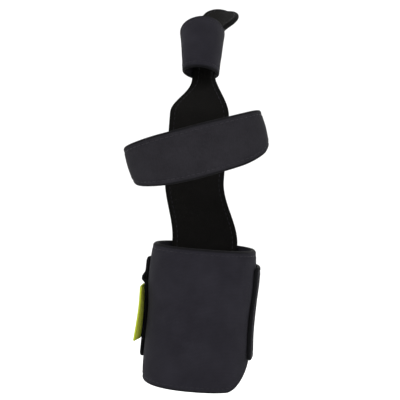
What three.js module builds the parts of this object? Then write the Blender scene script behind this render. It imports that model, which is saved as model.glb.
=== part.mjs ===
// A finger splint for a left hand, as soft goods: a wrist band with its closure strap and pull tab,
// a palm strap, a finger sleeve, and a padded panel on the palm side that joins them.
// Millimetres. +X points to the thumb side, +Y to the palm side and +Z from the forearm to the
// fingers. The origin is the middle of the wrist, at half the height of the wrist band.

import * as THREE from 'three';

// Space between two layers that lie on each other
const clearance = 0.3;

// Wrist band. bandSag is how much lower its edge hangs at the middle of the back of the hand.
const wristWidth = 57;
const wristDepth = 44;
const bandWall = 3;
const bandHeight = 83;
const bandCutRise = 16;
const bandCutSpread = 62;
const bandCutRound = 30;
const bandSag = 1.6;

// Closure strap, over the palm side of the band
const closureWall = 2.2;
const closureHeight = 61;
const closureTopInset = 9.5;
const closureCutRise = 6;
const closureStartAngle = -22;
const closureEndAngle = 178;

// Pull tab, sewn on the outside of the closure strap's end
const tabWall = 1.3;
const tabHeight = 33;
const tabRoot = 6;
const tabReach = 10;
const tabDrop = 2.7;
const tabLiftTop = 2.2;
const tabLiftBottom = 4.6;
const tabBend = 1.2;

// Palm strap: the hollow that takes the hand, and where its middle is. palmAbove is measured
// from the band's upper edge.
const palmWidth = 81.6;
const palmDepth = 38;
const palmStrapWall = 2.2;
const palmStrapWidth = 31;
const palmStrapTilt = 20;
const palmX = -9.4;
const palmY = -1;
const palmAbove = 58.6;

// Finger sleeve: the hollow at its base and at its end, and the line that it follows.
// sleeveAbove is measured from the palm strap's middle.
const sleeveWall = 1.7;
const sleeveBaseWidth = 17.6;
const sleeveBaseDepth = 22;
const sleeveEndWidth = 24.2;
const sleeveEndDepth = 24;
const sleeveLength = 31;
const sleeveBaseX = -10.6;
const sleeveBaseY = 18;
const sleeveAbove = 44.6;
const sleeveBaseTilt = 17;
const sleeveEndTilt = 46;
const fingerRoll = 28;
const fingerLean = -2;

// Splint panel on the palm side. panelWristInset is measured from the band's lower edge.
const panelWall = 4;
const panelWristWidth = 40;
const panelWristCorner = 12;
const panelWristInset = 7.5;
const panelPalmWidth = 36;
const panelFingerWidth = 15;
const panelTipWidth = 24;
const tongueLength = 37;
const tongueTilt = 54;
const tongueLean = 21;
const tongueRoll = 6;

// How square the rounded sections are: 2 is an ellipse
const bandPower = 2.3;
const palmPower = 2.4;
const sleevePower = 2.1;

// The panel curls a little more across the palm than the strap round it, and is straight along
// it: shares of the strap's hollow and of its width
const palmCurl = 0.38;
const palmHold = 1.25;

// The tongue has its full width and flatness at widenShare of its length, and its full lean at
// leanShare
const widenShare = 0.6;
const leanShare = 0.5;

// A rounded end of the panel: its last width and wall as shares of the full ones, and where its
// sections are, as shares of the end's length
const endWidthShare = 0.12;
const endWallShare = 0.5;
const endSteps = [0, 0.05, 0.17, 0.38, 0.67, 1];

const colours = { knit: 0x2a292f, strap: 0x2d2c31, lime: 0xc8e617, panel: 0x22201f };

const radians = THREE.MathUtils.degToRad;
const mix = THREE.MathUtils.lerp;

const bandTop = bandHeight / 2;
const closureTop = bandTop - closureTopInset;
const closureLow = closureTop - closureHeight;
const palmZ = bandTop + palmAbove;

// A smooth curve through one column of a table, flat where two rows hold the same value
function column(rows, name, at) {
  const last = rows.length - 1;
  if (at <= rows[0].at) return rows[0][name];
  if (at >= rows[last].at) return rows[last][name];
  const rise = (i) => (rows[i + 1][name] - rows[i][name]) / (rows[i + 1].at - rows[i].at);
  const slope = (i) => {
    if (i === 0 || i === last) return rise(Math.min(i, last - 1));
    const before = rise(i - 1);
    const after = rise(i);
    return before * after <= 0 ? 0 : (2 * before * after) / (before + after);
  };
  const i = rows.findIndex((row, k) => at < rows[k + 1].at);
  const span = rows[i + 1].at - rows[i].at;
  const t = (at - rows[i].at) / span;
  const blend = t * t * (3 - 2 * t);
  const start = t * (1 - t) * (1 - t) * span * slope(i);
  const end = t * t * (1 - t) * span * slope(i + 1);
  return mix(rows[i][name], rows[i + 1][name], blend) + start - end;
}

// A point of a rounded section: angle 0 is the thumb side and 90 the palm side
function roundAt(angle, halfWidth, halfDepth, power) {
  const c = Math.cos(radians(angle));
  const s = Math.sin(radians(angle));
  const share = 2 / power;
  return [
    halfWidth * Math.sign(c) * Math.abs(c) ** share,
    halfDepth * Math.sign(s) * Math.abs(s) ** share,
  ];
}

// The edge of a strip of fabric: from its inner to its outer face and back, with rounded rims.
// Each point is [share of the wall, share of the height, part of a rim].
function stripEdge(levels, rimPoints) {
  const points = [];
  for (let i = 0; i <= levels; i += 1) points.push([1, i / levels, 0]);
  for (let i = 1; i < rimPoints; i += 1) points.push([0, 1, i / rimPoints]);
  for (let i = levels; i >= 0; i -= 1) points.push([0, i / levels, 0]);
  for (let i = 1; i < rimPoints; i += 1) points.push([0, 0, i / rimPoints]);
  return points;
}

// Where a point of the strip's edge lies: how far out of the inner face, and how high
function onStrip([outside, share, rim], wall, low, high) {
  const radius = wall / 2;
  if (rim === 0) return [outside * wall, mix(low + radius, high - radius, share)];
  const turn = Math.PI * rim;
  const away = share === 1 ? Math.cos(turn) : -Math.cos(turn);
  const up = share === 1 ? high - radius : low + radius;
  const bulge = share === 1 ? Math.sin(turn) : -Math.sin(turn);
  return [radius * (1 + away), up + radius * bulge];
}

// A closed solid through rings of points: a loop, or capped at both ends
function solid(rings, loop) {
  const size = rings[0].length;
  const places = rings.flat();
  const faces = [];
  const steps = loop ? rings.length : rings.length - 1;
  for (let i = 0; i < steps; i += 1) {
    const here = i * size;
    const next = ((i + 1) % rings.length) * size;
    for (let k = 0; k < size; k += 1) {
      const after = (k + 1) % size;
      faces.push([here + k, next + k, next + after], [here + k, next + after, here + after]);
    }
  }
  if (!loop) {
    const far = (rings.length - 1) * size;
    for (const [start, turned] of [[0, false], [far, true]]) {
      const middle = new THREE.Vector3();
      for (let k = 0; k < size; k += 1) middle.add(places[start + k]);
      places.push(middle.divideScalar(size));
      for (let k = 0; k < size; k += 1) {
        const edge = [start + k, start + ((k + 1) % size)];
        faces.push([places.length - 1, ...(turned ? edge.reverse() : edge)]);
      }
    }
  }
  const volume = faces.reduce((sum, [a, b, c]) => (
    sum + places[a].dot(new THREE.Vector3().crossVectors(places[b], places[c]))), 0);
  const geometry = new THREE.BufferGeometry();
  geometry.setAttribute('position', new THREE.Float32BufferAttribute(
    places.flatMap((p) => [p.x, p.y, p.z]), 3));
  geometry.setIndex(faces.flatMap((face) => (volume < 0 ? [...face].reverse() : face)));
  geometry.computeVertexNormals();
  return geometry;
}

function piece(name, geometry, colour, roughness) {
  const material = new THREE.MeshStandardMaterial({ color: colour, roughness, metalness: 0 });
  const mesh = new THREE.Mesh(geometry, material);
  mesh.name = name;
  return mesh;
}

// The wrist is a little narrower at its middle and at the band's edges.
// at is a share of the band's height, swell a share of the wrist's half width.
const wristSwell = [
  { at: -0.5, swell: -0.01 },
  { at: -0.36, swell: 0.008 },
  { at: 0, swell: -0.014 },
  { at: 0.26, swell: 0.02 },
  { at: 0.38, swell: 0.012 },
  { at: 0.5, swell: -0.028 },
];

// A point of the wrist's layers: offset is measured outward from the band's inner face
function onWrist(angle, offset, height) {
  const grow = 1 + column(wristSwell, 'swell', height / bandHeight);
  const [x, y] = roundAt(
    angle,
    (wristWidth / 2) * grow + offset,
    (wristDepth / 2) * grow + offset,
    bandPower,
  );
  return new THREE.Vector3(x, y, height);
}

// How far a lower edge is cut up at the thumb side, where the band's corner is rounded off
function cutRise(angle, rise) {
  const from = Math.hypot(((angle + 540) % 360) - 180, bandCutRound);
  const share = (bandCutSpread - from) / (bandCutSpread - bandCutRound);
  return share > 0 ? rise * share ** 2 : 0;
}

function wristBand() {
  const edge = stripEdge(10, 4);
  const rings = [];
  for (let angle = 0; angle < 360; angle += 7.5) {
    const sag = bandSag * Math.max(0, -Math.sin(radians(angle)));
    const low = cutRise(angle, bandCutRise) - sag - bandTop;
    rings.push(edge.map((point) => {
      const [offset, height] = onStrip(point, bandWall, low, bandTop);
      return onWrist(angle, offset, height);
    }));
  }
  return solid(rings, true);
}

function closureStrap() {
  const edge = stripEdge(5, 4);
  const rings = [];
  const steps = 32;
  for (let i = 0; i <= steps; i += 1) {
    const angle = mix(closureStartAngle, closureEndAngle, i / steps);
    const low = closureLow + cutRise(angle, closureCutRise);
    rings.push(edge.map((point) => {
      const [offset, height] = onStrip(point, closureWall, low, closureTop);
      return onWrist(angle, bandWall + clearance + offset, height);
    }));
  }
  return solid(rings, false);
}

// The tab runs on past the closure's end and stands off the band, most at its lower corner
function pullTab() {
  const edge = stripEdge(4, 3);
  const rings = [];
  const steps = 10;
  const face = bandWall + clearance + closureWall + clearance;
  const turnFor = (length) => THREE.MathUtils.radToDeg(length / (wristDepth / 2 + face));
  const low = (closureTop + closureLow) / 2 - tabDrop - tabHeight / 2;
  for (let i = 0; i <= steps; i += 1) {
    const along = mix(-tabRoot, tabReach, i / steps);
    const free = Math.max(0, along) / tabReach;
    rings.push(edge.map((point) => {
      const [offset, height] = onStrip(point, tabWall, low, low + tabHeight);
      const lift = mix(tabLiftBottom, tabLiftTop, (height - low) / tabHeight);
      const out = face + offset + lift * free ** tabBend;
      return onWrist(closureEndAngle + turnFor(along), out, height);
    }));
  }
  return solid(rings, false);
}

// How the palm strap's width is shared above and below its middle line, round the hand.
// at is the angle, -90 being the back of the hand; up and down are shares of the width.
const palmEdges = [
  { at: -180, up: 0.36, down: 0.37 },
  { at: -150, up: 0.41, down: 0.45 },
  { at: -115, up: 0.44, down: 0.54 },
  { at: -90, up: 0.43, down: 0.57 },
  { at: -60, up: 0.41, down: 0.56 },
  { at: -25, up: 0.39, down: 0.47 },
  { at: 0, up: 0.37, down: 0.36 },
  { at: 40, up: 0.38, down: 0.4 },
  { at: 130, up: 0.38, down: 0.4 },
  { at: 180, up: 0.36, down: 0.37 },
];

// The hand is narrower under the strap's edges, most at the lower one.
// at is a share of the strap's width, swell a share of the hollow's half width.
const palmSwell = [
  { at: -0.57, swell: -0.075 },
  { at: -0.4, swell: -0.045 },
  { at: -0.2, swell: -0.012 },
  { at: 0.05, swell: 0 },
  { at: 0.4, swell: -0.02 },
];

const palmMiddle = new THREE.Vector3(palmX, palmY, palmZ);
const palmTurn = new THREE.Quaternion().setFromAxisAngle(
  new THREE.Vector3(0, 1, 0),
  radians(-palmStrapTilt),
);

function onPalm(angle, offset, height) {
  const halfWidth = (palmWidth / 2) * (1 + column(palmSwell, 'swell', height / palmStrapWidth));
  const [x, y] = roundAt(angle, halfWidth + offset, palmDepth / 2 + offset, palmPower);
  return new THREE.Vector3(x, y, height).applyQuaternion(palmTurn).add(palmMiddle);
}

function palmStrap() {
  const edge = stripEdge(3, 4);
  const rings = [];
  for (let angle = -180; angle < 180; angle += 6) {
    const low = -palmStrapWidth * column(palmEdges, 'down', angle);
    const high = palmStrapWidth * column(palmEdges, 'up', angle);
    rings.push(edge.map((point) => {
      const [offset, height] = onStrip(point, palmStrapWall, low, high);
      return onPalm(angle, offset, height);
    }));
  }
  return solid(rings, true);
}

// A frame on the line of the finger: tilt leans it to the palm side, lean to the thumb side in
// its own plane, and roll turns its thumb side towards the back of the hand
function frameAt(origin, tilt, lean, roll) {
  const turn = new THREE.Quaternion().setFromEuler(new THREE.Euler(
    radians(-tilt),
    radians(lean),
    radians(-roll),
    'XYZ',
  ));
  return { origin, turn };
}

function inFrame({ origin, turn }, x, y, z) {
  return new THREE.Vector3(x, y, z).applyQuaternion(turn).add(origin);
}

// A frame carried some way along a line; turnsAt gives its tilt, lean and roll along the way
function carried(start, length, turnsAt) {
  const steps = 12;
  const origin = start.clone();
  for (let i = 0; i < steps; i += 1) {
    const { turn } = frameAt(origin, ...turnsAt(((i + 0.5) / steps) * length));
    origin.add(new THREE.Vector3(0, 0, length / steps).applyQuaternion(turn));
  }
  return frameAt(origin, ...turnsAt(length));
}

// The finger's middle line inside the sleeve, bending away to the palm side
function fingerFrame(length) {
  const base = new THREE.Vector3(sleeveBaseX, sleeveBaseY, palmZ + sleeveAbove);
  const tiltAt = (along) => mix(sleeveBaseTilt, sleeveEndTilt, along / sleeveLength);
  return carried(base, length, (along) => [tiltAt(along), fingerLean, fingerRoll]);
}

function sleeveHalf(length) {
  const share = length / sleeveLength;
  return [mix(sleeveBaseWidth, sleeveEndWidth, share) / 2,
    mix(sleeveBaseDepth, sleeveEndDepth, share) / 2];
}

function fingerSleeve() {
  const edge = stripEdge(6, 3);
  const rings = [];
  for (let angle = 0; angle < 360; angle += 10) {
    rings.push(edge.map((point) => {
      const [offset, length] = onStrip(point, sleeveWall, 0, sleeveLength);
      const [halfWidth, halfDepth] = sleeveHalf(length);
      const [x, y] = roundAt(angle, halfWidth + offset, halfDepth + offset, sleevePower);
      return inFrame(fingerFrame(length), x, y, 0);
    }));
  }
  return solid(rings, true);
}

// A section of the splint panel: its frame's origin is the middle of its outer face, half is its
// half width, and it curls as a hollow of that half width, half depth and power does
function section(frame, half, hollowWidth, hollowDepth, power) {
  return { ...frame, half, hollowWidth, hollowDepth, power, wall: panelWall };
}

function wristSection(height) {
  const grow = 1 + column(wristSwell, 'swell', height / bandHeight);
  const halfWidth = (wristWidth / 2) * grow - clearance;
  const halfDepth = (wristDepth / 2) * grow - clearance;
  const frame = frameAt(new THREE.Vector3(0, halfDepth, height), 0, 0, 0);
  return section(frame, panelWristWidth / 2, halfWidth, halfDepth, bandPower);
}

// The panel runs straight through the palm strap, from one side of it to the other
function palmSection(side) {
  const halfDepth = palmDepth / 2 - clearance;
  const height = palmZ + (side * palmStrapWidth * palmHold) / 2;
  const frame = frameAt(new THREE.Vector3(palmX, palmY + halfDepth, height), 0, 0, 0);
  return section(frame, panelPalmWidth / 2, palmWidth * palmCurl, halfDepth, palmPower);
}

function sleeveSection(length) {
  const frame = fingerFrame(length);
  const [halfWidth, halfDepth] = sleeveHalf(length).map((half) => half - clearance);
  const face = { origin: inFrame(frame, 0, halfDepth, 0), turn: frame.turn };
  return section(face, panelFingerWidth / 2, halfWidth, halfDepth, sleevePower);
}

// Past the sleeve the panel widens, flattens and turns towards the thumb side
function tongueSection(length) {
  const start = sleeveSection(sleeveLength);
  const share = Math.min(1, length / (tongueLength * widenShare));
  const frame = carried(start.origin, length, (along) => [
    mix(sleeveEndTilt, tongueTilt, along / tongueLength),
    mix(fingerLean, tongueLean, Math.min(1, along / (tongueLength * leanShare))),
    mix(fingerRoll, tongueRoll, along / tongueLength),
  ]);
  return section(
    frame,
    mix(panelFingerWidth, panelTipWidth, share) / 2,
    mix(start.hollowWidth, panelTipWidth, share),
    mix(start.hollowDepth, panelTipWidth / 2, share),
    mix(sleevePower, 2, share),
  );
}

// Sections between two others, on a curve that leaves each along its own line
function between(from, to, count) {
  const reach = from.origin.distanceTo(to.origin) / 3;
  const curve = new THREE.CubicBezierCurve3(
    from.origin,
    inFrame(from, 0, 0, reach),
    inFrame(to, 0, 0, -reach),
    to.origin,
  );
  return Array.from({ length: count }, (_, i) => {
    const t = (i + 1) / (count + 1);
    const blend = t * t * (3 - 2 * t);
    const frame = { origin: curve.getPoint(t), turn: from.turn.clone().slerp(to.turn, blend) };
    const even = (name) => mix(from[name], to[name], blend);
    return section(frame, even('half'), even('hollowWidth'), even('hollowDepth'), even('power'));
  });
}

// A rounded end: the section narrows and thins over the last stretch of the panel
function rounded(panel, share) {
  const round = Math.sqrt(1 - (1 - share) ** 2);
  const half = panel.half * mix(endWidthShare, 1, round);
  return { ...panel, half, wall: panelWall * mix(endWallShare, 1, round) };
}

// Even steps from one length to another, without the first
function evenly(from, to, count) {
  return Array.from({ length: count }, (_, i) => mix(from, to, (i + 1) / count));
}

function panelSections() {
  const low = panelWristInset - bandTop;
  const tip = panelTipWidth / 2;
  const corner = endSteps.map((share) => (
    rounded(wristSection(low + share * panelWristCorner), share)));
  const wrist = evenly(low + panelWristCorner, bandTop, 8).map(wristSection);
  const palm = [-1, -0.5, 0, 0.5, 1].map(palmSection);
  const sleeve = [0, ...evenly(0, sleeveLength, 6)].map(sleeveSection);
  const tongue = evenly(0, tongueLength - tip, 4).slice(0, -1).map(tongueSection);
  const end = [...endSteps].reverse().map((share) => (
    rounded(tongueSection(tongueLength - share * tip), share)));
  return [
    ...corner, ...wrist, ...between(wrist.at(-1), palm[0], 4),
    ...palm, ...between(palm.at(-1), sleeve[0], 5),
    ...sleeve, ...tongue, ...end,
  ];
}

function palmarSplint() {
  const edge = stripEdge(8, 4);
  return solid(panelSections().map((panel) => edge.map((point) => {
    const [depth, x] = onStrip(point, panel.wall, -panel.half, panel.half);
    const beside = Math.min(0.98, Math.abs(x) / panel.hollowWidth);
    const drop = panel.hollowDepth * (1 - (1 - beside ** panel.power) ** (1 / panel.power));
    return inFrame(panel, x, -drop - (panel.wall - depth), 0);
  })), false);
}

const group = new THREE.Group();
group.add(piece('wrist_band', wristBand(), colours.knit, 0.9));
group.add(piece('closure_strap', closureStrap(), colours.strap, 0.9));
group.add(piece('pull_tab', pullTab(), colours.lime, 0.7));
group.add(piece('palm_strap', palmStrap(), colours.strap, 0.9));
group.add(piece('finger_sleeve', fingerSleeve(), colours.knit, 0.9));
group.add(piece('palmar_splint', palmarSplint(), colours.panel, 0.9));

export default group;
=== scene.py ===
import math

import bmesh
import bpy
import numpy as np
from mathutils import Matrix, Vector


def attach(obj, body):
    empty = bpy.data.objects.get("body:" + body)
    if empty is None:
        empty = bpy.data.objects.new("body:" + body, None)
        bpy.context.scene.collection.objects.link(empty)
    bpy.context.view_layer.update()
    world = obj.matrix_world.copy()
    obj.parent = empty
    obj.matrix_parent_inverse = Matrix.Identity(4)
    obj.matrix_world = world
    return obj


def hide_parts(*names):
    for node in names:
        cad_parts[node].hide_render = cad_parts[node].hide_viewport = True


# A finger splint for a left hand. Shape values are in millimetres, and meshes are made in metres.
# +X is the thumb side, +Y the palm side, and +Z runs from the forearm to the fingers.

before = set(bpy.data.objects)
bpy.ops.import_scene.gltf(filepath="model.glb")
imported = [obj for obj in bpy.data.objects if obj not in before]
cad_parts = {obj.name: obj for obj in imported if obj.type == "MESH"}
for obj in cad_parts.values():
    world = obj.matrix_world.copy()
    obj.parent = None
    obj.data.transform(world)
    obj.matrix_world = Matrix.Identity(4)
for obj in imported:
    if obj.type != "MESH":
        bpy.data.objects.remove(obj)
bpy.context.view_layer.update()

CLEARANCE = 0.3

# Wrist band
WRIST_WIDTH = 57
WRIST_DEPTH = 44
BAND_WALL = 3
BAND_HEIGHT = 83
BAND_CUT_RISE = 16
CUT_SPREAD = 62
CUT_ROUND = 30
BAND_SAG = 1.6
BAND_TOP = BAND_HEIGHT / 2
BAND_POWER = 2.3

# Closure strap
CLOSURE_WALL = 2.2
CLOSURE_HEIGHT = 61
CLOSURE_CUT_RISE = 6
CLOSURE_TOP_INSET = 9.5
CLOSURE_TOP = BAND_TOP - CLOSURE_TOP_INSET
CLOSURE_LOW = CLOSURE_TOP - CLOSURE_HEIGHT
CLOSURE_START = -22
CLOSURE_END = 178
CLOSURE_CORNER = 4

# The closure's lifted corner: how far it stands off, how far round it reaches, and the heights
# between which it rises and falls
PEEL_LIFT = 2
PEEL_REACH = 7
PEEL_RISE = (15.7, 18.2)
PEEL_FALL = (19.5, 24)

# Pull tab
TAB_WALL = 1.3
TAB_HEIGHT = 33
TAB_ROOT = 6
TAB_REACH = 10
TAB_DROP = 2.7
TAB_LOW = (CLOSURE_TOP + CLOSURE_LOW - TAB_HEIGHT) / 2 - TAB_DROP
TAB_LIFT_TOP = 2.2
TAB_LIFT_BOTTOM = 4.6
TAB_BEND = 1.2
TAB_CORNER = 1.5
# Where the tab's two rows of stitches lie along it, and how far they stop from its edges
TAB_SEAMS = (1.6 - TAB_ROOT, -1.2)
TAB_SEAM_INSET = 2

# Palm strap
PALM_WIDTH = 81.6
PALM_DEPTH = 38
PALM_WALL = 2.2
PALM_STRAP_WIDTH = 31
PALM_TILT = 20
PALM_ABOVE = 58.6
PALM_MIDDLE = Vector((-9.4, -1, BAND_TOP + PALM_ABOVE))
PALM_POWER = 2.4

# Finger sleeve
SLEEVE_WALL = 1.7
SLEEVE_BASE = (17.6 / 2, 22 / 2)
SLEEVE_END = (24.2 / 2, 24 / 2)
SLEEVE_LENGTH = 31
SLEEVE_ABOVE = 44.6
SLEEVE_START = Vector((-10.6, 18, PALM_MIDDLE.z + SLEEVE_ABOVE))
SLEEVE_BASE_TILT = 17
SLEEVE_END_TILT = 46
FINGER_ROLL = 28
FINGER_LEAN = -2
SLEEVE_POWER = 2.1

# Splint panel
PANEL_WALL = 4
PANEL_WRIST_HALF = 20
PANEL_WRIST_CORNER = 12
PANEL_WRIST_INSET = 7.5
PANEL_LOW = PANEL_WRIST_INSET - BAND_TOP
PANEL_PALM_HALF = 18
PANEL_FINGER_HALF = 7.5
PANEL_TIP_HALF = 12
# How far the cloth's faces lie inside the solid's, clear of the palm strap
PANEL_INSET = 0.15
# The panel's last width and wall at a rounded end, as shares of the full ones
END_WIDTH = 0.12
END_WALL = 0.3
# Where the sections of a rounded end lie, as shares of its length
END_STEPS = [0, 0.01, 0.03, 0.06, 0.11, 0.18, 0.27, 0.38, 0.5, 0.64, 0.8, 1]
# How much the panel's seams pull it in against a flat cloth's, and how thin its edge is pressed
PANEL_SEAM = 1.3
PANEL_PRESSED = 0.35
TONGUE_LENGTH = 37
TONGUE_TILT = 54
TONGUE_LEAN = 21
TONGUE_ROLL = 6
TONGUE_WIDEN = 0.6
TONGUE_TURN = 0.5
PALM_CURL = 0.38
PALM_HOLD = 1.25

# Half width's swell against the height as a share of the band's
WRIST_SWELL = [(-0.5, -0.01), (-0.36, 0.008), (0, -0.014), (0.26, 0.02), (0.38, 0.012), (0.5, -0.028)]

# The palm strap's edges against the angle, and the hand's swell against the height, as shares
PALM_UP = [
    (-180, 0.36), (-150, 0.41), (-115, 0.44), (-90, 0.43), (-60, 0.41),
    (-25, 0.39), (0, 0.37), (40, 0.38), (130, 0.38), (180, 0.36),
]
PALM_DOWN = [
    (-180, 0.37), (-150, 0.45), (-115, 0.54), (-90, 0.57), (-60, 0.56),
    (-25, 0.47), (0, 0.36), (40, 0.4), (130, 0.4), (180, 0.37),
]
PALM_SWELL = [(-0.57, -0.075), (-0.4, -0.045), (-0.2, -0.012), (0.05, 0), (0.4, -0.02)]

# Sewing: the rows' distance from an edge, and a stitch's pitch, length and width
SEAM_INSET = 3
STITCH_PITCH = 3
STITCH_LENGTH = 2.3
STITCH_WIDTH = 0.5

# How deep a stitch's middle lies in its cloth: in the band and straps, the thin sleeve and the
# pressed edge of the panel
SUNK = 0.18
SLEEVE_SUNK = 0.14
PANEL_SUNK = 0.35

# A seam's relief: how far the cloth swells beside the stitches and is pulled in at them, and over
# what distance each fades
SEAM_SWELL = 0.16
SEAM_SWELL_WIDTH = 2
SEAM_GROOVE = 0.42
SEAM_GROOVE_WIDTH = 0.6

# How much of the wall is left at the very end of the closure strap and the pull tab
THINNED = 0.25


def mix(a, b, share):
    return a + (b - a) * share


def column(rows, at):
    """A smooth curve through a table's values, level past its ends."""
    places, values = np.array(rows, float).T
    rise = np.diff(values) / np.diff(places)
    before, after = rise[:-1], rise[1:]
    same = before * after > 0
    slope = np.empty(len(places))
    slope[0], slope[-1] = rise[0], rise[-1]
    slope[1:-1] = np.where(same, 2 * before * after / np.where(same, before + after, 1), 0)
    at = np.clip(at, places[0], places[-1])
    i = np.clip(np.searchsorted(places, at, side="right") - 1, 0, len(places) - 2)
    span = places[i + 1] - places[i]
    t = (at - places[i]) / span
    start = t * (1 - t) ** 2 * span * slope[i]
    end = t**2 * (1 - t) * span * slope[i + 1]
    return mix(values[i], values[i + 1], t * t * (3 - 2 * t)) + start - end


def round_at(angle, half_width, half_depth, power):
    """A point of a rounded section: angle 0 is the thumb side and 90 the palm side."""
    c, s = np.cos(np.radians(angle)), np.sin(np.radians(angle))
    x = half_width * np.sign(c) * np.abs(c) ** (2 / power)
    y = half_depth * np.sign(s) * np.abs(s) ** (2 / power)
    return x, y


def step(value, low, high):
    """From 0 at low to 1 at high, with soft ends."""
    t = np.clip((value - low) / (high - low), 0, 1)
    return t * t * (3 - 2 * t)


def uneven(points, wave, seed):
    """Soft unevenness from about -1 to 1, the same each run."""
    rng = np.random.default_rng(seed)
    total = np.zeros(points.shape[:-1])
    for _ in range(7):
        way = rng.normal(size=3)
        way *= 2 * math.pi / (wave * rng.uniform(0.7, 1.6) * np.linalg.norm(way))
        total += np.sin(points @ way + rng.uniform(0, 2 * math.pi))
    return total / 4


def worn(points, away, height, wave, fade, seed):
    """Unevenness of that height, which fades out towards the edges."""
    return height * uneven(points, wave, seed) * step(away, 1, fade)


def seam(distance):
    """How far a face stands out near a row of stitches, which pulls it in."""
    groove = np.exp(-(((distance - SEAM_INSET) / SEAM_GROOVE_WIDTH) ** 2))
    swell = np.exp(-(((distance - SEAM_INSET) / SEAM_SWELL_WIDTH) ** 2))
    return SEAM_SWELL * swell - SEAM_GROOVE * groove


def thinned(wall, left):
    """The wall that is left near an end, which is rounded off over half the wall."""
    inside = np.clip(left, 0, wall / 2) / (wall / 2)
    return wall * mix(THINNED, 1, np.sqrt(1 - (1 - inside) ** 2))


def cornered(left, corner):
    """How far a rounded corner pulls in an edge, with so much left to the end."""
    return corner - np.sqrt(corner**2 - (corner - np.clip(left, 0, corner)) ** 2)


def denser(start, stop, ends, count):
    """Places from start to stop: near both as far in as ends says, and count evenly between."""
    ends = np.array(ends)
    middle = np.linspace(start + ends[-1], stop - ends[-1], count)
    return np.concatenate([start + ends[:-1], middle, stop - ends[-2::-1]])


def path_length(path):
    """A path's length."""
    return np.linalg.norm(np.diff(path, axis=0), axis=1).sum()


class Strip:
    """A strip of fabric's section: up its outer face, over the rim and down its inner face."""

    def __init__(self, levels, rim):
        even = np.linspace(0, 1, levels + 1)
        turn = np.arange(1, rim) / rim
        ones, zeros = np.ones_like(turn), np.zeros_like(turn)
        self.outside = np.concatenate([np.ones(levels + 1), zeros, np.zeros(levels + 1), zeros])
        self.share = np.concatenate([even, ones, even[::-1], zeros])
        self.rim = np.concatenate([0 * even, turn, 0 * even, turn])
        self.face = np.concatenate([0 * even + 1, zeros, 0 * even - 1, zeros])

    def place(self, wall, low, high):
        """How far out of the inner face, and how high, the section's points are at each ring."""
        wall, low, high = (np.asarray(x, float)[..., None] for x in (wall, low, high))
        radius = wall / 2
        upper = self.share == 1
        way = np.where(upper, 1, -1)
        turn = math.pi * self.rim
        on_face = self.rim == 0
        offset = np.where(on_face, self.outside * wall, radius * (1 + way * np.cos(turn)))
        flat = mix(low + radius, high - radius, self.share)
        rim = np.where(upper, high - radius, low + radius) + way * radius * np.sin(turn)
        return offset, np.where(on_face, flat, rim)


def frame_at(tilt, lean, roll):
    """The turn of a frame on the finger's line."""
    return (
        Matrix.Rotation(math.radians(-tilt), 3, "X")
        @ Matrix.Rotation(math.radians(lean), 3, "Y")
        @ Matrix.Rotation(math.radians(-roll), 3, "Z")
    )


def carried(start, length, turns_at):
    """A frame carried some way along a line."""
    steps = 12
    origin = start.copy()
    for i in range(steps):
        origin += frame_at(*turns_at((i + 0.5) / steps * length)) @ Vector((0, 0, length / steps))
    return origin, frame_at(*turns_at(length))


def in_frame(origin, turn, x, y):
    """Points across a frame, from arrays of x and y."""
    x, y = np.broadcast_arrays(x, y)
    flat = np.stack([x, y, np.zeros_like(x)], -1)
    return flat @ np.array(turn).T + np.array(origin)


def cut_rise(angle, rise):
    """How far a lower edge is cut up at the thumb side."""
    away = np.hypot((angle + 540) % 360 - 180, CUT_ROUND)
    share = np.clip((CUT_SPREAD - away) / (CUT_SPREAD - CUT_ROUND), 0, None)
    return rise * share**2


def on_wrist(angle, offset, height):
    angle, offset, height = np.broadcast_arrays(angle, offset, height)
    grow = 1 + column(WRIST_SWELL, height / BAND_HEIGHT)
    half_width = WRIST_WIDTH / 2 * grow + offset
    half_depth = WRIST_DEPTH / 2 * grow + offset
    x, y = round_at(angle, half_width, half_depth, BAND_POWER)
    return np.stack([x, y, height], -1)


def on_palm(angle, offset, height):
    angle, offset, height = np.broadcast_arrays(angle, offset, height)
    half_width = PALM_WIDTH / 2 * (1 + column(PALM_SWELL, height / PALM_STRAP_WIDTH))
    x, y = round_at(angle, half_width + offset, PALM_DEPTH / 2 + offset, PALM_POWER)
    turn = np.array(Matrix.Rotation(math.radians(-PALM_TILT), 3, "Y"))
    return np.stack([x, y, height], -1) @ turn.T + np.array(PALM_MIDDLE)


def finger_frame(length):
    def turns(along):
        return mix(SLEEVE_BASE_TILT, SLEEVE_END_TILT, along / SLEEVE_LENGTH), FINGER_LEAN, FINGER_ROLL

    return carried(SLEEVE_START, length, turns)


def sleeve_half(length):
    share = length / SLEEVE_LENGTH
    return mix(SLEEVE_BASE[0], SLEEVE_END[0], share), mix(SLEEVE_BASE[1], SLEEVE_END[1], share)


def on_sleeve(angle, offset, length):
    """Points of the sleeve, where each column of the arrays has one length along the finger."""
    points = np.empty((*np.broadcast_shapes(angle.shape, offset.shape), 3))
    for k, at in enumerate(length):
        half_width, half_depth = sleeve_half(at)
        out = np.broadcast_to(offset, points.shape[:-1])[:, k]
        x, y = round_at(angle[:, 0], half_width + out, half_depth + out, SLEEVE_POWER)
        points[:, k] = in_frame(*finger_frame(at), x, y)
    return points


# Materials

# Millimetres of one column of the knit's loops, one row of them, and the weaves' threads
WALE = 0.95
COURSE = 0.8
PANEL_PITCH = 0.55
LIME_PITCH = 0.6

# How much the fabrics shine at a slant, and how strongly they mirror
SHEEN = 0.02
SPECULAR = 0.05


def linear(red, green, blue):
    """A shader's colour from one of 0 to 255 as it looks."""
    return tuple(
        c / 12.92 if c <= 0.04045 else ((c + 0.055) / 1.055) ** 2.4
        for c in (red / 255, green / 255, blue / 255)
    ) + (1,)


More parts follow.
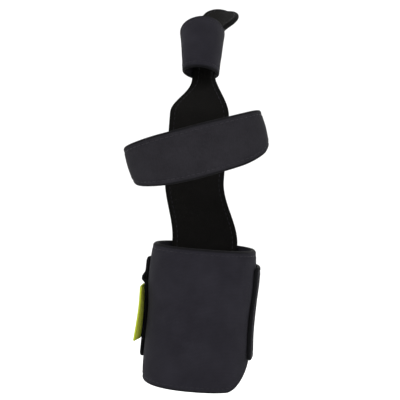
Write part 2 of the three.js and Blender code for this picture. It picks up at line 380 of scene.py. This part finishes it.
class Shader:
    """A material with short calls to add its nodes."""

    def __init__(self, name):
        self.material = bpy.data.materials.new(name)
        self.material.use_nodes = True
        self.tree = self.material.node_tree
        self.surface = self.tree.nodes["Principled BSDF"]

    def put(self, socket, value):
        if isinstance(value, bpy.types.NodeSocket):
            self.tree.links.new(value, socket)
        else:
            socket.default_value = value

    def node(self, kind, inputs, out=0, **settings):
        made = self.tree.nodes.new(kind)
        for name, value in settings.items():
            setattr(made, name, value)
        for name, value in inputs.items():
            self.put(made.inputs[name], value)
        return made.outputs[out]

    def math(self, operation, a, b=0.0):
        return self.node("ShaderNodeMath", {0: a, 1: b}, operation=operation)

    def across_cloth(self):
        """Millimetres along and across the cloth."""
        spot = self.node("ShaderNodeUVMap", {}, uv_map="fabric")
        parts = self.tree.nodes.new("ShaderNodeSeparateXYZ")
        self.tree.links.new(spot, parts.inputs[0])
        return parts.outputs[0], parts.outputs[1]

    def noise(self, size, detail=2.0, rough=0.5):
        """Noise of that size in millimetres, from 0 to 1."""
        place = self.node("ShaderNodeTexCoord", {}, out="Object")
        inputs = {"Vector": place, "Scale": 1000 / size, "Detail": detail, "Roughness": rough}
        return self.node("ShaderNodeTexNoise", inputs)

    def between(self, share, low, high):
        """A colour between two, by a share from 0 to 1."""
        ramp = self.tree.nodes.new("ShaderNodeValToRGB")
        ramp.color_ramp.elements[0].color = low
        ramp.color_ramp.elements[1].color = high
        ramp.color_ramp.elements[0].position = 0.25
        ramp.color_ramp.elements[1].position = 0.75
        self.tree.links.new(share, ramp.inputs[0])
        return ramp.outputs[0]

    def ranged(self, value, low, high):
        inputs = {"Value": value, "To Min": low, "To Max": high}
        return self.node("ShaderNodeMapRange", inputs)

    def raised(self, height, deep):
        """Sets the relief: deep is its depth in millimetres."""
        inputs = {"Height": height, "Distance": deep / 1000, "Strength": 1.0}
        self.put(self.surface.inputs["Normal"], self.node("ShaderNodeBump", inputs))

    def with_edge_shade(self, colour, edge_shade_colour):
        """Painted shade: darker within a millimetre or two of the cloth's edges, where the rounded
        edges turn away from the light.
        """
        rim = self.node("ShaderNodeAttribute", {}, out="Fac", attribute_name="rim")
        return self.mixed(rim, colour, edge_shade_colour)

    def mixed(self, share, low, high):
        """A mix of two colours, whose sockets come after those for numbers and vectors."""
        inputs = {0: share, 6: low, 7: high}
        return self.node("ShaderNodeMix", inputs, out=2, data_type="RGBA")

    def finish(self, colour, roughness, sheen, specular=SPECULAR):
        inputs = self.surface.inputs
        self.put(inputs["Base Color"], colour)
        self.put(inputs["Roughness"], roughness)
        inputs["Sheen Weight"].default_value = sheen
        inputs["Sheen Roughness"].default_value = 0.5
        inputs["Specular IOR Level"].default_value = specular
        return self.material


def knit(name, low, high):
    """Fine weft knit: columns of small V loops, with a little fuzz."""
    s = Shader(name)
    u, v = s.across_cloth()
    wale = s.math("DIVIDE", u, WALE)
    slant = s.math("PINGPONG", wale, 0.5)
    course = s.math("ADD", s.math("DIVIDE", v, COURSE), slant)
    loop = s.math("SINE", s.math("MULTIPLY", course, 2 * math.pi))
    strand = s.math("MULTIPLY", s.math("PINGPONG", wale, 0.25), 4)
    relief = s.math("ADD", s.math("MULTIPLY", loop, 0.25), s.math("MULTIPLY", strand, 0.5))
    fuzz = s.noise(0.35)
    relief = s.math("ADD", relief, s.math("MULTIPLY", fuzz, 0.5))
    patches = s.noise(16, 3.0, 0.6)
    tone = s.math("ADD", s.math("MULTIPLY", patches, 0.55), s.math("MULTIPLY", relief, 0.35))
    s.raised(relief, 0.12)
    shade = s.with_edge_shade(s.between(tone, low, high), EDGE_SHADE)
    return s.finish(shade, s.ranged(fuzz, 0.82, 0.95), SHEEN)


def brushed(name, low, high):
    """Brushed loop fabric, as hook fasteners grip: a dense short pile with a lie to it."""
    s = Shader(name)
    place = s.node("ShaderNodeTexCoord", {}, out="Object")
    lie = {"Vector": place, "Scale": (1.0, 1.0, 0.45)}
    stretched = s.node("ShaderNodeMapping", lie)
    inputs = {"Vector": stretched, "Scale": 1700.0, "Detail": 3.0, "Roughness": 0.65}
    pile = s.node("ShaderNodeTexNoise", inputs)
    tufts = s.noise(1.6, 2.0)
    relief = s.math("ADD", s.math("MULTIPLY", pile, 0.7), s.math("MULTIPLY", tufts, 0.5))
    patches = s.noise(13, 3.0, 0.6)
    tone = s.math("ADD", s.math("MULTIPLY", patches, 0.5), s.math("MULTIPLY", pile, 0.5))
    s.raised(relief, 0.16)
    shade = s.with_edge_shade(s.between(tone, low, high), EDGE_SHADE)
    return s.finish(shade, s.ranged(tufts, 0.85, 0.97), SHEEN)


def woven(name, low, high, rim, pitch):
    """Plain weave: threads that cross over and under each other."""
    s = Shader(name)
    u, v = s.across_cloth()
    warp = s.math("SINE", s.math("MULTIPLY", u, math.pi / pitch))
    weft = s.math("SINE", s.math("MULTIPLY", v, math.pi / pitch))
    over = s.math("MULTIPLY", warp, weft)
    ribs = s.math("ADD", s.math("ABSOLUTE", warp), s.math("ABSOLUTE", weft))
    relief = s.math("ADD", s.math("MULTIPLY", over, 0.35), s.math("MULTIPLY", ribs, 0.3))
    fuzz = s.noise(0.3)
    relief = s.math("ADD", relief, s.math("MULTIPLY", fuzz, 0.3))
    patches = s.noise(11, 3.0, 0.6)
    tone = s.math("ADD", s.math("MULTIPLY", patches, 0.55), s.math("MULTIPLY", relief, 0.4))
    s.raised(relief, 0.12)
    # rim is the colour of the painted shade near the cloth's edges
    shade = s.with_edge_shade(s.between(tone, low, high), rim)
    return s.finish(shade, s.ranged(fuzz, 0.75, 0.92), SHEEN)


def thread(name, colour):
    """Twisted thread."""
    s = Shader(name)
    ply = s.noise(0.25, 1.0)
    s.raised(ply, 0.08)
    shade = s.between(ply, tuple(0.75 * c for c in colour[:3]) + (1,), colour)
    return s.finish(shade, s.ranged(ply, 0.5, 0.7), 0.1)


# Painted edge shade: the colour the knit and strap fabrics darken to near their edges, standing in for
# the shade on their rounded edges
EDGE_SHADE = linear(13, 13, 15)
KNIT = knit("knit_fabric", linear(24, 23, 28), linear(38, 37, 43))
STRAP = brushed("strap_fabric", linear(24, 23, 26), linear(38, 37, 41))
# The splint panel's painted edge shade, near black
PANEL_EDGE_SHADE = linear(7, 7, 7)
PANEL = woven("panel_fabric", linear(9, 9, 8), linear(17, 16, 15), PANEL_EDGE_SHADE, PANEL_PITCH)
# The pull tab's painted edge shade, an olive darker than its lime
LIME_EDGE_SHADE = linear(158, 169, 44)
LIME = woven("lime_fabric", linear(180, 190, 44), linear(220, 226, 98), LIME_EDGE_SHADE, LIME_PITCH)
DARK_THREAD = thread("dark_thread", linear(33, 32, 37))
LIME_THREAD = thread("lime_thread", linear(190, 201, 90))


# Meshes


def settled(name, mesh, material):
    """An object of that mesh: faces outward, smooth, in its material and riding on the part."""
    bm = bmesh.new()
    bm.from_mesh(mesh)
    bmesh.ops.recalc_face_normals(bm, faces=bm.faces)
    bm.to_mesh(mesh)
    bm.free()
    mesh.polygons.foreach_set("use_smooth", [True] * len(mesh.polygons))
    mesh.materials.append(material)
    made = bpy.data.objects.new(name, mesh)
    bpy.context.scene.collection.objects.link(made)
    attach(made, "root")
    return made


def cloth(name, points, across, away, loop, material):
    """A closed mesh through rings of points, with a map of the cloth in millimetres, and how near
    each point is to an edge, away being its distance from it."""
    count, size = points.shape[:2]
    row = points[:, size // 4]
    reach = np.linalg.norm(np.diff(row, axis=0, append=row[:1]), axis=1)
    along = np.concatenate([[0], np.cumsum(reach)])
    faces, spots = [], []
    for i in range(count if loop else count - 1):
        here, nxt = i * size, (i + 1) % count * size
        for k in range(size):
            after = (k + 1) % size
            v, w = across[i, k], across[i, after]
            faces.append((here + k, nxt + k, nxt + after, here + after))
            spots += [(along[i], v), (along[i + 1], v), (along[i + 1], w), (along[i], w)]
    if not loop:
        for i in (0, count - 1):
            faces.append(tuple(range(i * size, (i + 1) * size)))
            spots += [(along[i], across[i, k]) for k in range(size)]
    mesh = bpy.data.meshes.new(name)
    mesh.from_pydata([tuple(p) for p in points.reshape(-1, 3) / 1000], [], faces)
    layer = mesh.uv_layers.new(name="fabric")
    layer.data.foreach_set("uv", np.array(spots, np.float32).ravel())
    # The rim attribute is the mask of the painted edge shade: 1 within half a millimetre of an edge,
    # fading to 0 by 1.9 mm in
    near = mesh.attributes.new("rim", "FLOAT", "POINT")
    near.data.foreach_set("value", (1 - step(away, 0.5, 1.9)).astype(np.float32).ravel())
    return settled(name, mesh, material)


def spaced(path, pitch, closed):
    """Even places along a path: each one's index among the path's points, with a fraction."""
    ends = np.append(path, path[:1], axis=0) if closed else path
    reach = np.concatenate([[0], np.cumsum(np.linalg.norm(np.diff(ends, axis=0), axis=1))])
    count = max(2, round(reach[-1] / pitch))
    return np.interp((np.arange(count) + 0.5) / count * reach[-1], reach, np.arange(len(reach)))


def bead():
    """One stitch: a long rounded bead along x, 1 each way."""
    rings = [(-1, 0), (-0.85, 0.62), (-0.4, 0.95), (0.4, 0.95), (0.85, 0.62), (1, 0)]
    sides = 6
    spots = [(-1, 0, 0)]
    for x, radius in rings[1:-1]:
        turns = [2 * math.pi * k / sides for k in range(sides)]
        spots += [(x, radius * math.cos(t), radius * math.sin(t)) for t in turns]
    spots.append((1, 0, 0))
    last = len(spots) - 1
    faces = [(0, 1 + (k + 1) % sides, 1 + k) for k in range(sides)]
    for ring in range(len(rings) - 3):
        a = 1 + ring * sides
        b = a + sides
        faces += [(a + k, a + (k + 1) % sides, b + (k + 1) % sides, b + k) for k in range(sides)]
    a = last - sides
    faces += [(a + k, a + (k + 1) % sides, last) for k in range(sides)]
    return np.array(spots), faces


def sewn(name, rows, material):
    """Stitches along rows, each a pair of paths, on the cloth and 1 mm out of it, and closed or not."""
    spots, shape = bead()
    places, faces = [], []
    for path, out, closed in rows:
        near = np.append(path, path[:1], axis=0) if closed else path
        far = np.append(out, out[:1], axis=0) if closed else out
        for at in spaced(path, STITCH_PITCH, closed):
            i = min(int(at), len(near) - 2)
            middle = mix(near[i], near[i + 1], at - i)
            along = near[i + 1] - near[i]
            along /= np.linalg.norm(along)
            up = mix(far[i], far[i + 1], at - i) - middle
            up -= along * (up @ along)
            up /= np.linalg.norm(up)
            turned = np.stack([
                along * STITCH_LENGTH / 2,
                np.cross(up, along) * STITCH_WIDTH / 2,
                up * STITCH_WIDTH / 2,
            ])
            start = len(places)
            places += [tuple(p / 1000) for p in spots @ turned + middle]
            faces += [tuple(start + k for k in face) for face in shape]
    mesh = bpy.data.meshes.new(name)
    mesh.from_pydata(places, [], faces)
    return settled(name, mesh, material)


def wrist_band():
    angle = np.arange(0, 360, 1.5)[:, None]
    sag = BAND_SAG * np.clip(-np.sin(np.radians(angle[:, 0])), 0, None)
    low = cut_rise(angle[:, 0], BAND_CUT_RISE) - sag - BAND_TOP
    strip = Strip(levels=88, rim=8)
    offset, height = strip.place(BAND_WALL, low, np.full_like(low, BAND_TOP))
    plain = on_wrist(angle, offset, height)
    away = np.minimum(height - low[:, None], BAND_TOP - height)
    relief = seam(away) + worn(plain, away, height=0.22, wave=26, fade=9, seed=3)
    made = cloth(
        "wrist_band_fabric",
        on_wrist(angle, offset + strip.face * np.where(strip.face > 0, relief, 0.3 * relief), height),
        height, away, True, KNIT,
    )
    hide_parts("wrist_band")
    rows = []
    for edge in (low + SEAM_INSET, np.full_like(low, BAND_TOP - SEAM_INSET)):
        spots = [on_wrist(angle[:, 0], BAND_WALL + out, edge) for out in (-SUNK, 1 - SUNK)]
        rows.append((*spots, True))
    stitches = sewn("wrist_band_stitches", rows, DARK_THREAD)
    length = path_length(on_wrist(angle[:, 0], BAND_WALL / 2, 0.0))


def closure_end(angle):
    """How many millimetres of the closure strap are left to its nearer end."""
    turn = math.radians(1) * (WRIST_DEPTH / 2 + BAND_WALL + CLOSURE_WALL)
    return np.minimum(angle - CLOSURE_START, CLOSURE_END - angle) * turn


def closure_edges(angle, corner):
    """The closure strap's edges, with rounded corners at its ends."""
    pull = cornered(closure_end(angle), corner)
    low = CLOSURE_LOW + cut_rise(angle, CLOSURE_CUT_RISE)
    return low + pull, CLOSURE_TOP - pull


def peel(angle, height):
    """The little corner above the tab that has come off the band."""
    left = (CLOSURE_END - angle) * math.radians(1) * (WRIST_DEPTH / 2 + BAND_WALL)
    hump = step(height, *PEEL_RISE) * (1 - step(height, *PEEL_FALL))
    return PEEL_LIFT * hump * (1 - step(left, 0, PEEL_REACH)) ** 1.5


def closure_strap():
    ends = [0, 0.12, 0.35, 0.7, 1.1, 1.6, 2.3, 3.2]
    angle = denser(CLOSURE_START, CLOSURE_END, ends, 150)
    low, high = closure_edges(angle, CLOSURE_CORNER)
    left = closure_end(angle)
    wall = thinned(CLOSURE_WALL, left)
    strip = Strip(levels=66, rim=8)
    offset, height = strip.place(wall, low, high)
    offset = offset + (CLOSURE_WALL - wall)[:, None] / 2
    face = BAND_WALL + CLEARANCE
    turn = angle[:, None]
    plain = on_wrist(turn, face + offset, height)
    away = np.minimum(np.minimum(height - low[:, None], high[:, None] - height), left[:, None])
    relief = seam(away) + worn(plain, away, height=0.16, wave=22, fade=8, seed=8)
    lift = peel(turn, height)
    made = cloth(
        "closure_strap_fabric",
        on_wrist(turn, face + offset + lift + np.where(strip.face > 0, relief, 0), height),
        height, away, False, STRAP,
    )
    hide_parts("closure_strap")
    inset = SEAM_INSET / (math.radians(1) * (WRIST_DEPTH / 2 + BAND_WALL + CLOSURE_WALL))
    run = np.linspace(CLOSURE_START + inset, CLOSURE_END - inset, 160)
    low, high = closure_edges(run, 0.01)
    rise = np.linspace(low[-1] + SEAM_INSET, high[-1] - SEAM_INSET, 40)[1:-1]
    fall = np.linspace(high[0] - SEAM_INSET, low[0] + SEAM_INSET, 40)[1:-1]
    turns = np.concatenate([run, np.full_like(rise, run[-1]), run[::-1], np.full_like(fall, run[0])])
    heights = np.concatenate([low + SEAM_INSET, rise, high[::-1] - SEAM_INSET, fall])
    lifts = peel(turns, heights)
    spots = [on_wrist(turns, face + CLOSURE_WALL + lifts + out, heights) for out in (-SUNK, 1 - SUNK)]
    stitches = sewn("closure_strap_stitches", [(*spots, True)], DARK_THREAD)
    length = path_length(on_wrist(angle, face + 1, 0.0))


def on_tab(along, offset, height):
    """A point of the pull tab: along is measured outward from the closure strap's end."""
    face = BAND_WALL + 2 * CLEARANCE + CLOSURE_WALL
    free = np.clip(along, 0, None) / TAB_REACH
    lift = mix(TAB_LIFT_BOTTOM, TAB_LIFT_TOP, (height - TAB_LOW) / TAB_HEIGHT)
    angle = CLOSURE_END + np.degrees(along / (WRIST_DEPTH / 2 + face))
    return on_wrist(angle, face + offset + lift * free**TAB_BEND, height)


def pull_tab():
    along = denser(-TAB_ROOT, TAB_REACH, [0, 0.05, 0.15, 0.3, 0.5, 0.8, 1], 34)
    left = np.minimum(along + TAB_ROOT, TAB_REACH - along)
    wall = thinned(TAB_WALL, left)
    pull = cornered(left, TAB_CORNER)
    low, high = TAB_LOW + pull, TAB_LOW + TAB_HEIGHT - pull
    strip = Strip(levels=50, rim=6)
    offset, height = strip.place(wall, low, high)
    offset = offset + (TAB_WALL - wall)[:, None] / 2
    away = np.minimum(np.minimum(height - low[:, None], high[:, None] - height), left[:, None])
    points = on_tab(along[:, None], offset, height)
    made = cloth("pull_tab_fabric", points, height, away, False, LIME)
    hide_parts("pull_tab")
    rise = np.linspace(TAB_LOW + TAB_SEAM_INSET, TAB_LOW + TAB_HEIGHT - TAB_SEAM_INSET, 30)
    rows = []
    for at in TAB_SEAMS:
        rows.append((on_tab(at, TAB_WALL, rise), on_tab(at, TAB_WALL + 1, rise), False))
    stitches = sewn("pull_tab_stitches", rows, LIME_THREAD)


def palm_strap():
    angle = np.arange(-180, 180, 1.5)[:, None]
    low = -PALM_STRAP_WIDTH * column(PALM_DOWN, angle[:, 0])
    high = PALM_STRAP_WIDTH * column(PALM_UP, angle[:, 0])
    strip = Strip(levels=38, rim=8)
    offset, height = strip.place(PALM_WALL, low, high)
    plain = on_palm(angle, offset, height)
    away = np.minimum(height - low[:, None], high[:, None] - height)
    relief = seam(away) + worn(plain, away, height=0.16, wave=24, fade=8, seed=5)
    made = cloth(
        "palm_strap_fabric",
        on_palm(angle, offset + np.where(strip.face > 0, relief, 0), height),
        height, away, True, STRAP,
    )
    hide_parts("palm_strap")
    rows = []
    for edge in (low + SEAM_INSET, high - SEAM_INSET):
        spots = [on_palm(angle[:, 0], PALM_WALL + out, edge) for out in (-SUNK, 1 - SUNK)]
        rows.append((*spots, True))
    stitches = sewn("palm_strap_stitches", rows, DARK_THREAD)
    length = path_length(on_palm(angle[:, 0], PALM_WALL / 2, 0.0))


def finger_sleeve():
    angle = np.arange(0, 360, 2.5)[:, None]
    strip = Strip(levels=34, rim=6)
    offset, length = strip.place(SLEEVE_WALL, 0, SLEEVE_LENGTH)
    away = np.minimum(length, SLEEVE_LENGTH - length)
    plain = on_sleeve(angle, offset, length)
    relief = 0.8 * seam(away) + worn(plain, away, height=0.13, wave=12, fade=6, seed=6)
    made = cloth(
        "finger_sleeve_fabric",
        on_sleeve(angle, offset + np.where(strip.face > 0, relief, 0), length),
        np.broadcast_to(length, plain.shape[:-1]), np.broadcast_to(away, plain.shape[:-1]),
        True, KNIT,
    )
    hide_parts("finger_sleeve")
    rows = []
    for at in (SEAM_INSET, SLEEVE_LENGTH - SEAM_INSET):
        spots = [
            on_sleeve(angle, np.full((1, 1), SLEEVE_WALL + out), np.array([at]))[:, 0]
            for out in (-SLEEVE_SUNK, 1 - SLEEVE_SUNK)
        ]
        rows.append((*spots, True))
    stitches = sewn("finger_sleeve_stitches", rows, DARK_THREAD)
    middle = on_sleeve(angle, np.full((1, 1), SLEEVE_WALL / 2), np.array([SLEEVE_LENGTH / 2]))[:, 0]


# Splint panel: sections of (origin, turn, half width, hollow width, hollow depth, power)


def wrist_section(height):
    grow = 1 + float(column(WRIST_SWELL, height / BAND_HEIGHT))
    half_width = WRIST_WIDTH / 2 * grow - CLEARANCE
    half_depth = WRIST_DEPTH / 2 * grow - CLEARANCE
    origin = Vector((0, half_depth, height))
    return origin, frame_at(0, 0, 0), PANEL_WRIST_HALF, half_width, half_depth, BAND_POWER


def palm_section(side):
    half_depth = PALM_DEPTH / 2 - CLEARANCE
    height = PALM_MIDDLE.z + side * PALM_STRAP_WIDTH * PALM_HOLD / 2
    origin = Vector((PALM_MIDDLE.x, PALM_MIDDLE.y + half_depth, height))
    return origin, frame_at(0, 0, 0), PANEL_PALM_HALF, PALM_WIDTH * PALM_CURL, half_depth, PALM_POWER


def sleeve_section(length):
    origin, turn = finger_frame(length)
    half_width, half_depth = (half - CLEARANCE for half in sleeve_half(length))
    origin = origin + turn @ Vector((0, half_depth, 0))
    return origin, turn, PANEL_FINGER_HALF, half_width, half_depth, SLEEVE_POWER


def tongue_section(length):
    start = sleeve_section(SLEEVE_LENGTH)

    def turns(along):
        share = along / TONGUE_LENGTH
        lean = mix(FINGER_LEAN, TONGUE_LEAN, min(1, share / TONGUE_TURN))
        return mix(SLEEVE_END_TILT, TONGUE_TILT, share), lean, mix(FINGER_ROLL, TONGUE_ROLL, share)

    origin, turn = carried(start[0], length, turns)
    share = min(1, length / (TONGUE_LENGTH * TONGUE_WIDEN))
    return (
        origin, turn, mix(PANEL_FINGER_HALF, PANEL_TIP_HALF, share),
        mix(start[3], 2 * PANEL_TIP_HALF, share), mix(start[4], PANEL_TIP_HALF, share),
        mix(SLEEVE_POWER, 2, share),
    )


def bezier(a, b, c, d, t):
    return a * (1 - t) ** 3 + b * 3 * t * (1 - t) ** 2 + c * 3 * t * t * (1 - t) + d * t**3


def between(first, last, count):
    reach = (last[0] - first[0]).length / 3
    ahead = first[0] + first[1] @ Vector((0, 0, reach))
    behind = last[0] - last[1] @ Vector((0, 0, reach))
    found = []
    for i in range(count):
        t = (i + 1) / (count + 1)
        blend = t * t * (3 - 2 * t)
        turn = first[1].to_quaternion().slerp(last[1].to_quaternion(), blend).to_matrix()
        origin = bezier(first[0], ahead, behind, last[0], t)
        found.append((origin, turn, *(mix(a, b, blend) for a, b in zip(first[2:], last[2:]))))
    return found


def evenly(start, end, count):
    return [mix(start, end, (i + 1) / count) for i in range(count)]


def panel_sections():
    """Every section of the panel, with the share of its half width and wall that is left."""
    wrist = [wrist_section(PANEL_LOW + share * PANEL_WRIST_CORNER) for share in END_STEPS]
    wrist += [wrist_section(z) for z in evenly(PANEL_LOW + PANEL_WRIST_CORNER, BAND_TOP, 30)]
    palm = [palm_section(mix(-1, 1, i / 16)) for i in range(17)]
    sleeve = [sleeve_section(at) for at in [0, *evenly(0, SLEEVE_LENGTH, 14)]]
    tongue = [tongue_section(at) for at in evenly(0, TONGUE_LENGTH - PANEL_TIP_HALF, 12)[:-1]]
    tongue += [tongue_section(TONGUE_LENGTH - share * PANEL_TIP_HALF) for share in END_STEPS[::-1]]
    sections = wrist + between(wrist[-1], palm[0], 14) + palm
    sections += between(palm[-1], sleeve[0], 18) + sleeve + tongue
    left = np.ones(len(sections))
    left[: len(END_STEPS)] = END_STEPS
    left[-len(END_STEPS):] = END_STEPS[::-1]
    return sections, np.sqrt(1 - (1 - left) ** 2)


def on_panel(section, x, depth):
    """Points of a section: x across it and depth inward from its outer face."""
    origin, turn, _, hollow_width, hollow_depth, power = section
    beside = np.clip(np.abs(x) / hollow_width, 0, 0.98)
    drop = hollow_depth * (1 - (1 - beside**power) ** (1 / power))
    return in_frame(origin, turn, x, -drop - depth)


def palmar_splint():
    sections, left = panel_sections()
    strip = Strip(levels=44, rim=8)
    origins = np.array([s[0] for s in sections])
    along = np.concatenate([[0], np.cumsum(np.linalg.norm(np.diff(origins, axis=0), axis=1))])
    to_end = np.minimum(along, along[-1] - along)
    points, across, edges = [], [], []
    for section, round_off, end in zip(sections, left, to_end):
        half = section[2] * mix(END_WIDTH, 1, round_off)
        wall = PANEL_WALL * mix(END_WALL, 1, round_off)
        depth, x = strip.place(wall, -half, half)
        away = np.minimum(half - np.abs(x), max(end, 0.0))
        relief = PANEL_SEAM * seam(away) - PANEL_PRESSED * (1 - step(away, 0, SEAM_INSET))
        relief = np.where(strip.face == 0, 0, np.minimum(relief, -PANEL_INSET))
        middle = (wall - depth) + (PANEL_WALL - wall) / 2
        points.append(on_panel(section, x, middle - strip.face * relief))
        across.append(x)
        edges.append(away)
    points, across, edges = np.array(points), np.array(across), np.array(edges)
    made = cloth("palmar_splint_padded", points, across, edges, False, PANEL)
    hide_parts("palmar_splint")
    rows = []
    for face in (1, -1):
        paths = []
        for lift in (0, 1):
            outline = {1: [], -1: []}
            for section, round_off, end in zip(sections, left, to_end):
                x = section[2] * mix(END_WIDTH, 1, round_off) - SEAM_INSET
                if end < SEAM_INSET or x < 1:
                    continue
                depth = PANEL_SUNK - lift if face > 0 else PANEL_WALL - PANEL_SUNK + lift
                for side in (1, -1):
                    outline[side].append(on_panel(section, np.float64(side * x), depth))
            paths.append(np.array(outline[1] + outline[-1][::-1]))
        rows.append((*paths, True))
    sewn("palmar_splint_stitches", rows, DARK_THREAD)


# The camera, lights, floor and backdrop


def camera():
    """The photograph's view: straight at the back of the hand, a little from above and rolled."""
    target = Vector((-0.005, 0, 0.0687))
    distance, rise, roll = 0.764, math.radians(3.4), math.radians(4.5)
    forward = Vector((0, math.cos(rise), -math.sin(rise)))
    level, upward = Vector((1, 0, 0)), Vector((0, math.sin(rise), math.cos(rise)))
    right = level * math.cos(roll) + upward * math.sin(roll)
    up = upward * math.cos(roll) - level * math.sin(roll)
    data = bpy.data.cameras.new("camera")
    data.sensor_width = 36
    data.lens = 114.6  # Gives the photograph's 0.6 mm to a pixel at that distance
    data.clip_start = 0.01
    data.clip_end = 20
    made = bpy.data.objects.new("camera", data)
    turn = Matrix((right, up, -forward)).transposed()
    made.matrix_world = Matrix.Translation(target - forward * distance) @ turn.to_4x4()
    bpy.context.scene.collection.objects.link(made)
    bpy.context.scene.camera = made


def lamp(name, place, size, power):
    data = bpy.data.lights.new(name, "AREA")
    data.shape = "RECTANGLE"
    data.size, data.size_y = size
    data.energy = power
    made = bpy.data.objects.new(name, data)
    made.location = place
    aim = Vector((0, 0, 0.07)) - Vector(place)
    made.rotation_euler = aim.to_track_quat("-Z", "Y").to_euler()
    bpy.context.scene.collection.objects.link(made)


def sweep():
    """A pale paper floor that curves up into a backdrop, like a roll of studio paper."""
    low, behind, bend, high, wide = -0.24, 2.2, 1.6, 4.5, 5
    profile = [(-4, low), (behind - bend, low)]
    for k in range(1, 25):
        turn = math.pi / 2 * k / 24
        profile.append((behind - bend + bend * math.sin(turn), low + bend * (1 - math.cos(turn))))
    profile.append((behind, high))
    places = [(x, y, z) for y, z in profile for x in (-wide, wide)]
    faces = [(2 * i, 2 * i + 1, 2 * i + 3, 2 * i + 2) for i in range(len(profile) - 1)]
    mesh = bpy.data.meshes.new("paper_sweep")
    mesh.from_pydata(places, [], faces)
    mesh.polygons.foreach_set("use_smooth", [True] * len(mesh.polygons))
    paper = Shader("paper")
    grain = paper.noise(3, 2.0)
    pale = paper.between(grain, linear(250, 250, 250), linear(252, 252, 252))
    mesh.materials.append(paper.finish(pale, paper.ranged(grain, 0.85, 0.9), 0, 0.1))
    made = bpy.data.objects.new("paper_sweep", mesh)
    bpy.context.scene.collection.objects.link(made)


def studio():
    """A pale floor below the part, and soft light from all round."""
    sweep()
    world = bpy.data.worlds.new("studio")
    world.use_nodes = True
    world.node_tree.nodes["Background"].inputs["Color"].default_value = (1, 1, 1, 1)
    world.node_tree.nodes["Background"].inputs["Strength"].default_value = 1.0
    bpy.context.scene.world = world
    lamp("key_light", (-0.5, -0.8, 0.75), (0.6, 0.6), 7)
    lamp("fill_light", (0.8, -0.6, 0.35), (0.6, 0.6), 3)
    lamp("palm_light", (0.3, 0.9, 0.5), (0.8, 0.6), 5)


bpy.context.scene.view_settings.view_transform = "Standard"
camera()
studio()
wrist_band()
closure_strap()
pull_tab()
palm_strap()
finger_sleeve()
palmar_splint()
